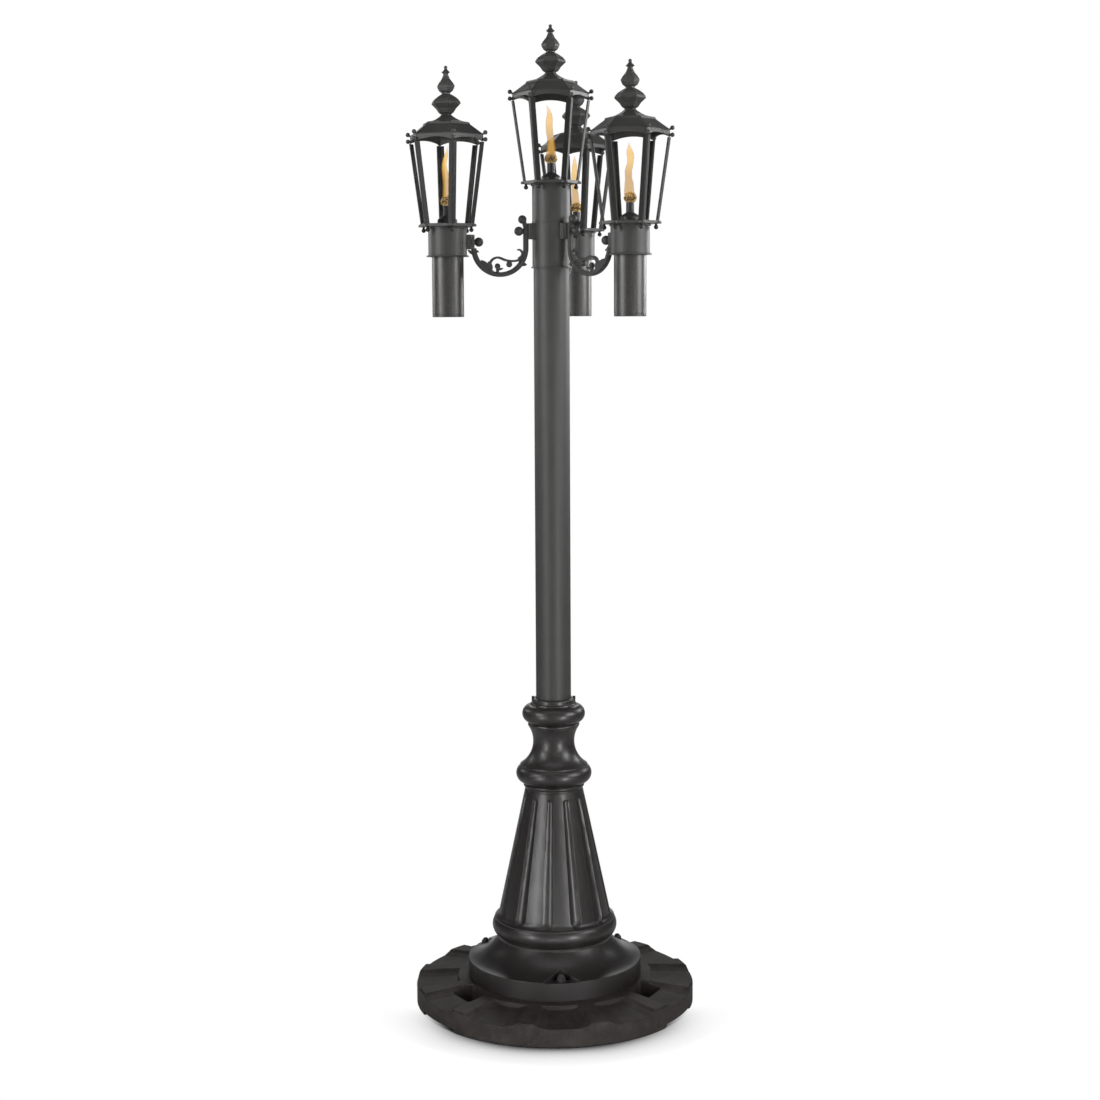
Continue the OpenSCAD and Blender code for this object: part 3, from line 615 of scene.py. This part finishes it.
# The floor is white paper. What the camera sees of it is plain white, with a soft contact shadow that
# falls towards the front and lies under the disc.
def makeFloor(s):
    bm = bmesh.new()
    half = s["floorSize"] / 2
    corners = [bm.verts.new((x * half, y * half, 0)) for x, y in ((-1, -1), (1, -1), (1, 1), (-1, 1))]
    bm.faces.new(corners)
    mesh = bpy.data.meshes.new("studioFloor")
    bm.to_mesh(mesh)
    bm.free()
    floor = bpy.data.objects.new("studioFloor", mesh)
    bpy.context.scene.collection.objects.link(floor)
    material, tree = newMaterial("whitePaperFloor")
    paper = addNode(tree, "BsdfDiffuse", {"Color": linear(s["floorColour"])})
    sky = addNode(tree, "AmbientOcclusion",
                  {"samples": s["shadowSamples"], "Distance": s["shadowReach"]}).outputs["AO"]
    hidden = remap(tree, sky, (1, 0), (0, s["shadowDepth"]))
    at = addNode(tree, "TexCoord").outputs["Object"]
    outwards = addNode(tree, "VectorMath", {"operation": "NORMALIZE"}, {0: at}).outputs[0]
    along = addNode(tree, "SeparateXYZ", links={0: at}).outputs["Y"]
    ahead = remap(tree, along, s["shadowSide"])
    reach = addNode(tree, "VectorMath", {"operation": "LENGTH"}, {0: at}).outputs["Value"]
    under = remap(tree, reach, s["covered"])
    falls = combine(tree, "MAXIMUM", ahead, under)
    amount = combine(tree, "MULTIPLY", hidden, falls, clamp=True)
    tint = addNode(tree, "Mix", {"data_type": "RGBA", 6: grey(1.0), 7: linear(s["shadow"])},
                   {0: amount}).outputs[2]
    white = addNode(tree, "Emission", {"Strength": 1.0}, {"Color": tint})
    shader = addNode(tree, "MixShader", links={0: seenRays(tree, behindLamp(tree, s, outwards)[0]),
                                             1: paper.outputs[0], 2: white.outputs[0]})
    closeMaterial(tree, shader)
    mesh.materials.append(material)


def makeWorld(s):
    world = bpy.data.worlds.new("studio")
    bpy.context.scene.world = world
    world.use_nodes = True
    tree = world.node_tree
    tree.nodes.clear()
    across, up = behindLamp(tree, s, addNode(tree, "TexCoord").outputs["Generated"])
    backdrop = combine(tree, "MULTIPLY", across, remap(tree, up, s["sweepTop"]))
    dim = addNode(tree, "Background", {"Color": grey(1.0), "Strength": s["skyLight"]})
    white = addNode(tree, "Background", {"Color": grey(1.0), "Strength": 1.0})
    shader = addNode(tree, "MixShader",
                     links={0: seenRays(tree, backdrop), 1: dim.outputs[0], 2: white.outputs[0]})
    addNode(tree, "OutputWorld", links={"Surface": shader.outputs[0]})


# softboxes: direction round the lamp in degrees, 0 at the camera's side; distance, height, height of the
# point they face, and width and height in m; angle of the grid in degrees, if there is one; and power.
# The grids keep the high boxes' light off the foot of the lamp, and the low one's off its pole.
softboxes = {
    "leftHigh": {"around": -58, "away": 2.6, "height": 2.3, "aim": 1.7,
                 "size": (0.9, 1.4), "grid": 66, "watts": 8.2},
    "leftLow": {"around": -42, "away": 2.6, "height": 0.55, "aim": 0.55,
                "size": (0.5, 1.05), "watts": 21},
    "rightHigh": {"around": 68, "away": 2.6, "height": 2.3, "aim": 1.7,
                  "size": (1.2, 1.4), "grid": 66, "watts": 11.6},
    "rightLow": {"around": 34, "away": 2.6, "height": 0.55, "aim": 0.55,
                 "size": (0.5, 1.05), "watts": 27},
    "frontLow": {"around": 0, "away": 2.2, "height": 0.12, "aim": 0.03,
                 "size": (1.2, 0.2), "grid": 22, "watts": 0.3},
    "frontBox": {"around": 5, "away": 4.2, "height": 2.6, "aim": 1.1,
                 "size": (1.8, 1.2), "watts": 9},
    "topBox": {"around": 0, "away": 1.6, "height": 6.0, "aim": 1.1,
               "size": (5.0, 2.0), "watts": 38},
    "backLeft": {"around": -124, "away": 2.8, "height": 2.2, "aim": 1.8,
                 "size": (0.9, 1.3), "grid": 50, "watts": 2.4},
    "backRight": {"around": 126, "away": 2.8, "height": 2.2, "aim": 1.8,
                  "size": (0.9, 1.3), "grid": 50, "watts": 5.2},
    "backBox": {"around": 180, "away": 4.0, "height": 3.0, "aim": 1.1,
                "size": (2.4, 1.6), "watts": 36},
}
openBox = 180                  # degrees, the spread of a box without a grid


def makeSoftbox(name, s):
    data = bpy.data.lights.new(name, "AREA")
    data.shape = "RECTANGLE"
    data.size, data.size_y = s["size"]
    data.energy = s["watts"]
    data.spread = math.radians(s.get("grid", openBox))
    obj = bpy.data.objects.new(name, data)
    turn = math.radians(s["around"])
    obj.location = (s["away"] * math.sin(turn), -s["away"] * math.cos(turn), s["height"])
    aim = Vector((0, 0, s["aim"])) - obj.location
    obj.rotation_euler = aim.to_track_quat("-Z", "Y").to_euler()
    bpy.context.scene.collection.objects.link(obj)


makeFloor(studio)
makeWorld(studio)
for name, s in softboxes.items():
    makeSoftbox(name, s)
bpy.context.scene.view_settings.view_transform = "Standard"
print("studio set")
